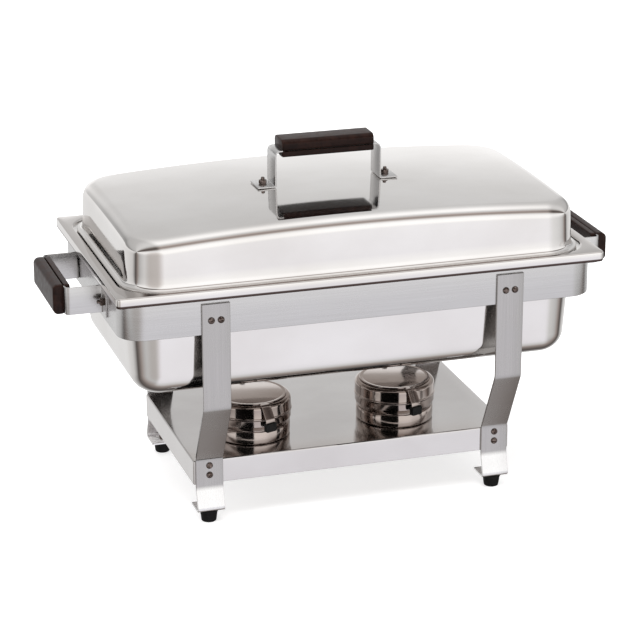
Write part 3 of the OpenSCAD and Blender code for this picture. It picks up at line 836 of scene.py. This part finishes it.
def nut_mesh(flats, height, bore_r):
    """A hexagon nut along +Z on z = 0: corners on its X axis, both faces chamfered, bore countersunk."""
    piece = Piece()
    steps = 72

    def hexagon(i):
        turned = math.radians((i * 360 / steps) % 60 - 30)
        return flats / 2 / math.cos(turned)

    profile = [(bore_r + 0.35, 0), (flats * 0.46, 0)]
    profile += [(flats * (0.485 + 0.024 * k), 0.09 * flats * k / 4) for k in range(5)]
    profile += [(r, height - z) for r, z in reversed(profile)]
    profile += [(bore_r, height - 0.35), (bore_r, 0.35)]
    rings = []
    for r, z in profile:
        ring = []
        for i in range(steps):
            a = 2 * math.pi * i / steps
            reach = min(r, hexagon(i)) if r > bore_r + 0.4 else r
            ring.append((reach * math.cos(a), reach * math.sin(a), z))
        rings.append(ring)
    ids = piece.loft(rings)
    piece.bridge(ids[-1], ids[0])
    return piece.verts, piece.faces


def build_nuts(node, body, axis, steel):
    """Replaces a node's plain nuts with chamfered ones of the same size; axis is the bore's."""
    piece = Piece()
    for lo, hi in solid_boxes(node):
        size, middle = hi - lo, (lo + hi) / 2
        across = [k for k in range(3) if k != axis]
        flats = min(size[k] for k in across)
        corner = max(across, key=lambda k: size[k])
        verts, faces = nut_mesh(flats, size[axis], 2.35 if flats > 7.5 else 2.0)
        x, z = Vector(), Vector()
        x[corner], z[axis] = 1, 1
        m = Matrix((x, z.cross(x), z)).transposed().to_4x4()
        middle[axis] = lo[axis]
        add_copy(piece, Matrix.Translation(middle) @ m, verts, faces)
    piece.put(node + "_chamfered", body, "fastener_steel", steel, [node], sharp=28)


# ---------- handles ----------


def handle_place(side):
    """Turns handle coordinates (along, out, across) into space; gives body, rise and half length too."""
    if side == "lid":
        lo, hi = span("lid_handle_strap")
        return (lambda a, out, c: (a, c, lo.z + out)), "lid", hi.z - lo.z, (hi.x - lo.x) / 2
    lo, hi = span(side + "_handle_strap")
    s = SIDES[side]
    base = lo.x if s > 0 else hi.x
    mid_z = (lo.z + hi.z) / 2
    return (lambda a, out, c: (base + s * out, s * a, mid_z + c)), "stand", hi.x - lo.x, (hi.y - lo.y) / 2


def build_handle(side, steel, phenolic):
    place, body, rise, foot_end = handle_place(side)
    node = side + "_handle_strap"
    lo, hi = span(node)
    grip_lo, grip_hi = span(side + "_handle_grip")
    width = hi.y - lo.y if side == "lid" else hi.z - lo.z
    grip = (grip_hi.x - grip_lo.x if side == "lid" else grip_hi.y - grip_lo.y) / 2
    t, foot_l = STRAP_SHEET, 23.0
    arm, top = foot_end - foot_l, rise - t / 2
    line = [(-foot_end, t / 2), (-arm, t / 2), (-arm, top), (0.6 - grip, top), (1.0 - grip, top)]
    line += [(-a, b) for a, b in reversed(line)]
    piece = Piece()
    narrow = lambda p: -8.0 if abs(p.x) < grip - 0.8 and p.y > top - t else 0.0
    strap(piece, line, width, t, (2.2, 6.5, 0, 0, 0, 0, 6.5, 2.2), place, edge=0.5, spacing=5, widen=narrow)
    piece.put(node + "_bent", body, "satin_steel", steel, [node])
    build_grip(side, place, body, top, phenolic)


def build_grip(side, place, body, strap_z, phenolic):
    """Two moulded halves clamped on the strap, with the joint showing as a groove."""
    node = side + "_handle_grip"
    lo, hi = span(node)
    size = hi - lo
    length, width, thick = (size.x, size.y, size.z) if side == "lid" else (size.y, size.z, size.x)
    low = strap_z - 7.5
    h, top = width / 2, low + thick
    inner = [(-h, strap_z - 0.4), (-h, low + 1), (-h + 1, low), (h - 1, low), (h, low + 1), (h, strap_z - 0.4)]
    outer = [(h, strap_z + 0.4), (h, top - 4), (h - 4, top), (-h + 4, top), (-h, top - 4), (-h, strap_z + 0.4)]
    for part, section, ease in (("inner", inner, 1.3), ("outer", outer, 2.6)):
        piece = Piece()
        rounded = round_section(section, ease, 5)
        prism(piece, rounded, length / 2, 1.6, lambda along, a, b: place(along, b, a))
        piece.put(node + "_" + part + "_half", body, "grip_plastic", phenolic, [node], sharp=50)


# ---------- burners ----------


def burner_axis(side):
    lo, hi = span(side + "_burner_cup")
    return (lo.x + hi.x) / 2, (lo.y + hi.y) / 2, lo.z


def build_burner(side, steel, fastener, black):
    x, y, z = burner_axis(side)
    s = SIDES[side]
    body = side + "_burner"
    here = Matrix.Translation((x, y, z))
    cup_r, cup_h = 49.5, 32.0
    cup = [(0.02, 0), (44, 0), (46.8, 0.15), *turn(cup_r - 2.4, 2.4, 2.4, -70, 0)]
    cup += [(cup_r, 16.4), (cup_r - 0.5, 17.0), (cup_r - 1.6, 17.3)]
    cup += [(cup_r - 1.6, 18.3), (cup_r - 0.5, 18.6), (cup_r, 19.2)]
    cup += [(cup_r, cup_h - 0.4), (cup_r - 0.4, cup_h), (cup_r - 2.6, cup_h), (cup_r - 3.0, cup_h - 0.4)]
    cup += [(cup_r - 3.0, 2.2), (cup_r - 4.2, THIN_SHEET), (0.02, THIN_SHEET)]
    piece, node = Piece(), side + "_burner_cup"
    lathe(piece, cup)
    piece.put(node + "_spun", body, "polished_steel", steel, [node], matrix=here, sharp=40)
    top = span(side + "_burner_collar")[1].z - z
    r = cup_r + 1.5
    hole_r, hole_at = 18.0, (s * 16, -10)
    collar = [(r - 0.2, 24), (r, 24.2), (r, 31.6)]
    collar += turn(r - 0.5, 34, 1.5, -58, 58, 8)
    collar += [(r, 36.4), (r, top - 5), *turn(r - 5, top - 5, 5, 8, 90, 8)]
    for wider, down in ((0.5, 0), (0, 0.4), (0, 1.2), (0.4, 1.5)):
        collar.append((hole_r + wider, top - down, *hole_at))
    collar += [(r - 6, top - 1.5), (r - 3.6, top - 4.0), (r - 3.3, 36), (cup_r + 0.2, 35.6), (cup_r + 0.2, 24)]
    piece, node = Piece(), side + "_burner_collar"
    lathe(piece, collar)
    piece.put(node + "_spun", body, "polished_steel", steel, [node], matrix=here, sharp=40)
    build_rivet(side, body, fastener)
    build_cover(side, steel, black)


def build_rivet(side, body, fastener):
    lo, hi = span(side + "_burner_pivot")
    middle = (lo + hi) / 2
    h = hi.z - lo.z
    profile = [(0.02, 0), (3.2, 0), (3.5, 0.3), (3.5, 1.7), (3.2, 2.0), (2.0, 2.0)]
    profile += [(2.0, h - 1.2), (3.7, h - 1.2), (4.0, h - 0.95), (3.8, h - 0.6)]
    profile += [(3.0, h - 0.25), (1.5, h - 0.05), (0.02, h)]
    piece = Piece()
    lathe(piece, profile, closed=False, steps=40)
    here, node = Matrix.Translation((middle.x, middle.y, lo.z)), side + "_burner_pivot"
    piece.put(node + "_headed", body, "fastener_steel", fastener, [node], matrix=here)


def build_cover(side, steel, black):
    """Flat cover with a pressed ring near its edge, a tongue bent down at the front and its black tip."""
    x, y, _ = burner_axis(side)
    t, r, top = COVER_SHEET, 45.0, span(side + "_burner_cover")[1].z
    body = side + "_cover"
    here = Matrix.Translation((x, y, top - t))
    disc = [(0.02, 0), (r - 0.5, 0), (r, 0.4), (r, 1.1), (r - 0.5, t), (r - 3.0, t)]
    disc += [(r - 3.6, t - 0.25), (r - 4.6, t - 0.25), (r - 5.2, t), (0.02, t)]
    piece = Piece()
    lathe(piece, disc, closed=False)
    root = Matrix.Translation((0, -37, 0)) @ Matrix.Rotation(math.radians(-70), 4, "Z")
    reach, end = 24.5, t / 2 - 24
    line = [(1.0, t / 2), (reach - 9.5, t / 2), (reach, end + 7), (reach, end)]
    flare = lambda p: 9.0 * max(0.0, (13.5 - p.x) / 6) ** 2 if p.x < 13.5 else 0.0
    lay = lambda a, b, c: tuple(root @ Vector((a, c, b)))
    strap(piece, line, 13.5, TONGUE_SHEET, (2.2, 2.5), lay, edge=0.4, spacing=1.5, widen=flare)
    node = side + "_burner_cover"
    piece.put(node + "_pressed", body, "polished_steel", steel, [node], matrix=here, sharp=40)
    tip, node = Piece(), side + "_burner_tip"
    section = round_section([(-3.5, -7.75), (3.5, -7.75), (3.5, 7.75), (-3.5, 7.75)], 1.4)
    hang = lambda along, a, b: tuple(root @ Vector((reach + a, b, end - 1.5 + along)))
    prism(tip, section, 5.5, 1.2, hang)
    tip.put(node + "_moulded", body, "tip_plastic", black, [node], matrix=here, sharp=50)


# ---------- studio ----------


def ramp(tree, value, stops):
    node = tree.nodes.new("ShaderNodeValToRGB")
    node.color_ramp.interpolation = "LINEAR"
    elements = node.color_ramp.elements
    while len(elements) < len(stops):
        elements.new(0.5)
    for element, (at, color) in zip(elements, stops):
        element.position, element.color = at, (*color, 1)
    tree.links.new(value, node.inputs["Fac"])
    return node.outputs["Color"]


def smooth_share(tree, value, low, high):
    node = tree.nodes.new("ShaderNodeMapRange")
    node.interpolation_type = "SMOOTHSTEP"
    node.inputs["From Min"].default_value = low
    node.inputs["From Max"].default_value = high
    tree.links.new(value, node.inputs["Value"])
    return node.outputs["Result"]


def build_world():
    """A white room seen as strips along X: the angle climbs from the front horizon over the zenith."""
    world = bpy.data.worlds.new("studio")
    bpy.context.scene.world = world
    world.use_nodes = True
    tree = world.node_tree
    link = tree.links.new
    tree.nodes.clear()
    out = tree.nodes.new("ShaderNodeOutputWorld")
    back = tree.nodes.new("ShaderNodeBackground")
    where = tree.nodes.new("ShaderNodeTexCoord").outputs["Generated"]
    split = tree.nodes.new("ShaderNodeSeparateXYZ")
    link(where, split.inputs["Vector"])
    forward = math_node(tree, "MULTIPLY", split.outputs["Y"], -1.0)
    angle = math_node(tree, "ARCTAN2", split.outputs["Z"], forward)
    turn_share = math_node(tree, "ADD", math_node(tree, "MULTIPLY", angle, 0.5 / math.pi), 0.5)
    aside = math_node(tree, "ABSOLUTE", math_node(tree, "SUBTRACT", split.outputs["X"], 0.12), 0.0)
    mix, shade = (tree.nodes.new("ShaderNodeMix") for _ in range(2))
    mix.data_type = shade.data_type = "RGBA"
    shade.blend_type = "MULTIPLY"
    link(smooth_share(tree, aside, 0.27, 0.55), mix.inputs["Factor"])
    link(ramp(tree, turn_share, sky_stops(MIDDLE_SKY)), mix.inputs["A"])
    link(ramp(tree, turn_share, sky_stops(END_SKY)), mix.inputs["B"])
    link(camera_shadow(tree, where), shade.inputs["Factor"])
    link(mix.outputs["Result"], shade.inputs["A"])
    shade.inputs["B"].default_value = (*CAMERA_SHADOW_TONE, 1)
    link(shade.outputs["Result"], back.inputs["Color"])
    back.inputs["Strength"].default_value = SKY_SCALE
    link(back.outputs["Background"], out.inputs["Surface"])


def camera_shadow(tree, where):
    """Share of the dark shape of camera and photographer in a direction of the room."""
    dot = tree.nodes.new("ShaderNodeVectorMath")
    dot.operation = "DOT_PRODUCT"
    tree.links.new(where, dot.inputs[0])
    dot.inputs[1].default_value = direction(-32, -12)
    outside, inside = (math.cos(math.radians(degrees)) for degrees in (32, 6))
    return smooth_share(tree, dot.outputs["Value"], outside, inside)


# Brightness of the room by angle in degrees: 0 is the front horizon, 90 the zenith, 180 the back
SKY_SCALE = 1.4
CAMERA_SHADOW_TONE = (0.70, 0.665, 0.645)
WHITE, BROWN, BLUE = (1, 1, 1), (1.12, 0.98, 0.92), (0.985, 0.98, 1.03)
MIDDLE_SKY = (
    (-180, 1.0, WHITE), (-160, 0.85, WHITE), (-140, 0.8, WHITE), (-110, 0.08, BROWN),
    (-92, 0.16, BROWN), (-78, 0.34, BROWN), (-66, 0.70, WHITE), (-50, 0.95, BLUE),
    (-30, 1.02, BLUE), (-17, 1.04, BLUE), (-9, 1.2, WHITE), (-2, 1.33, WHITE),
    (13, 1.33, WHITE), (21, 1.22, WHITE), (29, 1.0, WHITE), (37, 0.52, BROWN),
    (45, 0.33, BROWN), (53, 0.52, BROWN), (62, 0.77, WHITE), (71, 1.08, WHITE),
    (80, 1.3, WHITE), (90, 1.25, WHITE), (100, 1.1, WHITE), (110, 0.93, WHITE),
    (122, 0.80, WHITE), (138, 0.73, WHITE), (157, 0.69, WHITE), (164, 0.84, WHITE),
    (171, 1.15, WHITE), (180, 1.15, WHITE),
)
END_SKY = (
    (-180, 1.0, WHITE), (-140, 0.75, WHITE), (-110, 0.10, BROWN), (-92, 0.18, BROWN),
    (-75, 0.34, BROWN), (-50, 0.60, WHITE), (-22, 0.85, WHITE), (-5, 1.05, WHITE),
    (12, 1.2, WHITE), (26, 0.9, WHITE), (34, 0.25, BROWN), (45, 0.07, BROWN),
    (56, 0.25, BROWN), (68, 0.7, WHITE), (80, 0.85, WHITE), (100, 0.8, WHITE),
    (120, 0.66, WHITE), (152, 0.60, WHITE), (163, 0.52, WHITE), (172, 0.34, WHITE),
    (180, 0.45, WHITE),
)


def sky_stops(sky):
    """Ramp stops, dimmed so that the brightest strip fits in a ramp; the strength brings it back."""
    return [(0.5 + angle / 360, tuple(level * c / SKY_SCALE for c in tint)) for angle, level, tint in sky]


def area_light(name, at, aim, size, watts):
    """A soft panel that lights the scene but leaves no reflection."""
    light = bpy.data.lights.new(name, "AREA")
    light.shape, light.size, light.size_y = "RECTANGLE", *size
    light.energy = watts
    obj = add_object(name, light)
    obj.location = at
    obj.rotation_mode = "QUATERNION"
    obj.rotation_quaternion = (Vector(aim) - Vector(at)).to_track_quat("-Z", "Y")
    obj.visible_glossy = False


def build_floor(material):
    piece = bmesh.new()
    bmesh.ops.create_grid(piece, x_segments=24, y_segments=24, size=30.0)
    mesh = bpy.data.meshes.new("studio_floor")
    piece.to_mesh(mesh)
    piece.free()
    mesh.materials.append(material)
    floor = add_object("studio_floor", mesh)
    floor.visible_glossy = False


def build_flags(material):
    """Two dark cards just in front of the tray, seen only in reflections, chiefly the burners'."""
    lo, hi = span("base_tray")
    for side in SIDES:
        x, _, _ = burner_axis(side)
        mesh = bpy.data.meshes.new("studio_flag_" + side)
        y, low, high = lo.y - 4, hi.z + 2, hi.z + 80
        left, right = x - 99, x - 14
        corners = [(left, y, low), (right, y, low), (right, y, high), (left, y, high)]
        mesh.from_pydata([Vector(c) * MM for c in corners], [], [(0, 1, 2, 3)])
        mesh.materials.append(material)
        flag = add_object("studio_flag_" + side, mesh)
        for ray in ("camera", "diffuse", "transmission", "volume_scatter", "shadow"):
            setattr(flag, "visible_" + ray, False)


def build_camera():
    """A long lens from the left of the front, a little above the lid."""
    lo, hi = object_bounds()
    centre = (lo + hi) / 2
    aim = Vector((centre.x - 0.00702, centre.y - 0.00486, lo.z + 0.20647))
    back = direction(-17.456, 19.322)
    data = bpy.data.cameras.new("camera")
    data.sensor_width, data.lens = 36.0, 140.405
    camera = add_object("camera", data)
    camera.location = aim + back * 3.19703
    camera.rotation_mode = "QUATERNION"
    camera.rotation_quaternion = (-back).to_track_quat("-Z", "Y")
    bpy.context.scene.camera = camera


def build_studio():
    build_world()
    build_floor(pale_floor("floor_pale"))
    build_flags(black_rubber("flag_black"))
    area_light("key_overhead", (-0.5, -0.3, 2.6), (0, 0, 0.2), (2.4, 1.8), 62)
    area_light("fill_left", (-2.6, -0.6, 1.3), (0, 0, 0.25), (1.2, 1.6), 14)
    view = bpy.context.scene.view_settings
    view.view_transform = "Standard"
    view.look = "None"


def paint(node, material):
    """A CAD node that stays in view takes a finished material."""
    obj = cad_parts[node]
    obj.data.materials.clear()
    obj.data.materials.append(material)


def build_frame(phenolic, fastener):
    """The stand with its screws, and all three handles, which share their steels and grips."""
    # lighter than the other satin steels: a painted highlight on the legs' feet, toned down above them
    leg_steel = ((0.77, 0.76, 0.755), (0.84, 0.83, 0.825))
    foot_z = span("base_tray")[0].z - 5
    upright = satin_steel("steel_satin_upright", (900, 900, 9), *leg_steel, flare=foot_z)
    level = satin_steel("steel_satin_level", (9, 9, 900))
    across = satin_steel("steel_satin_across", (9, 900, 9))
    rubber = black_rubber("rubber_black")
    build_tray(polished_steel("steel_mirror_tray", (0.61, 0.585, 0.575), (0.69, 0.67, 0.66), 0.09, 0.15))
    build_band(level)
    for end, sy in (("front", -1), ("rear", 1)):
        for side in SIDES:
            build_leg(f"leg_{end}_{side}", sy, upright)
            build_foot(f"foot_{end}_{side}", rubber)
    build_screws(fastener)
    for node, axis in (("foot_nuts", 2), ("band_nuts", 1), ("tray_nuts", 1)):
        build_nuts(node, "stand", axis, fastener)
    for side in SIDES:
        build_handle(side, level, phenolic)
        build_nuts(side + "_handle_nuts", "stand", 0, fastener)
    build_handle("lid", across, phenolic)
    build_nuts("lid_handle_nuts", "lid", 2, fastener)


def main():
    build_camera()
    pan_rim = (*half_size("water_pan"), span("water_pan")[1].z)
    build_lid(polished_steel("steel_mirror_lid", low=0.03, high=0.08))
    build_water_pan(polished_steel("steel_mirror_pan", rim=pan_rim))
    build_food_pan(polished_steel("steel_mirror"))
    fastener = fastener_steel("steel_plated")
    build_frame(brown_phenolic("phenolic_brown"), fastener)
    # a darker copy of the polished steel for the burners
    burner_dark_steel = polished_steel("steel_burner_dark", (0.33, 0.27, 0.24), (0.54, 0.48, 0.45), 0.09, 0.17)
    black = black_rubber("plastic_black", 0.35, 0.5, (0.012, 0.011, 0.010))
    felt = wick_felt("felt_wick")
    for side in SIDES:
        build_burner(side, burner_dark_steel, fastener, black)
        paint(side + "_burner_wick", felt)
    build_studio()


main()
